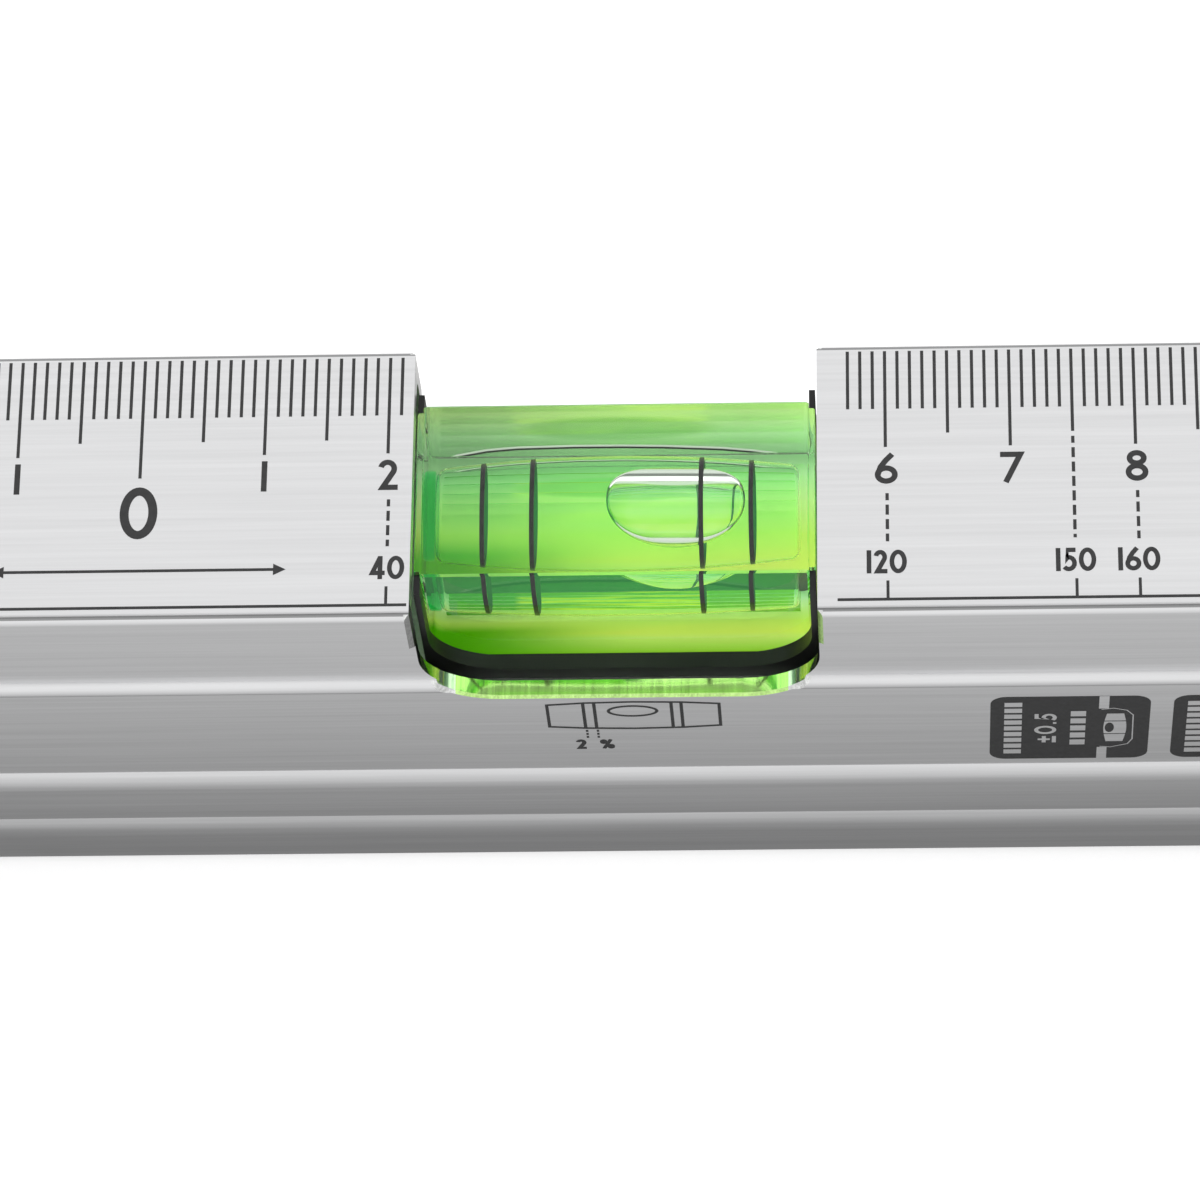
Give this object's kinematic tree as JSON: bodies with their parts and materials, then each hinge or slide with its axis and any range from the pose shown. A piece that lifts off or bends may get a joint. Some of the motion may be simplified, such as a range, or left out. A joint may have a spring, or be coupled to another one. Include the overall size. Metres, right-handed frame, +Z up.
{
  "type": "magnetic spirit level",
  "caption": "Aluminium spirit level with a magnetic grooved base, a zero-centred millimetre ruler on its top face, a clear level vial in a U-shaped cut-out and a plumb vial.",
  "frame": {"origin": "middle of the base, half way between the two end caps and under the zero of the ruler", "axes": "+X along the level, the way the ruler counts up past the level vial; -Y the front; +Z up from the base to the ruler face"},
  "size_m": [0.43, 0.024, 0.049],
  "materials": {
    "aluminium": "drawn, fine lines along its length, clear anodised, printed in black",
    "vial_acrylic": "clear, polished, tinted green by the liquid",
    "vial_liquid": "clear green liquid",
    "vial_plug": "clear, dark green",
    "vial_bubble": "gas bubble, clear",
    "ring_ink": "black",
    "seal_rubber": "black, smooth",
    "magnet": "nickel plated",
    "cup_steel": "zinc plated",
    "cap_plastic": "black, fine grained",
    "bush_plastic": "black, fine grained"
  },
  "bodies": {
    "body": {"profile": "aluminium", "level_vial_block": "vial_acrylic", "level_vial_plug": "vial_plug", "level_vial_liquid": "vial_liquid", "level_vial_rings": "ring_ink", "plumb_vial_block": "vial_acrylic", "plumb_vial_plug": "vial_plug", "plumb_vial_liquid": "vial_liquid", "plumb_vial_rings": "ring_ink", "level_vial_front_seal": "seal_rubber", "level_vial_rear_seal": "seal_rubber", "plumb_vial_front_frame": "seal_rubber", "plumb_vial_rear_frame": "seal_rubber", "magnets": "magnet", "magnet_cups": "cup_steel", "left_end_cap": "cap_plastic", "right_end_cap": "cap_plastic", "hang_bush_front": "bush_plastic", "hang_bush_rear": "bush_plastic"},
    "level_bubble": {"level_vial_bubble": "vial_bubble"},
    "plumb_bubble": {"plumb_vial_bubble": "vial_bubble"}
  },
  "joints": [
    {"name": "level_bubble_travel", "type": "hinge", "parent": "body", "child": "level_bubble", "pos_m": [0.03825, 0, -0.06495], "axis": [0, 1, 0], "range_deg": [-7.01, 2.01]},
    {"name": "plumb_bubble_travel", "type": "hinge", "parent": "body", "child": "plumb_bubble", "pos_m": [0.263, 0, 0.0246], "axis": [0, 1, 0], "range_deg": [-8.89, 0]}
  ]
}
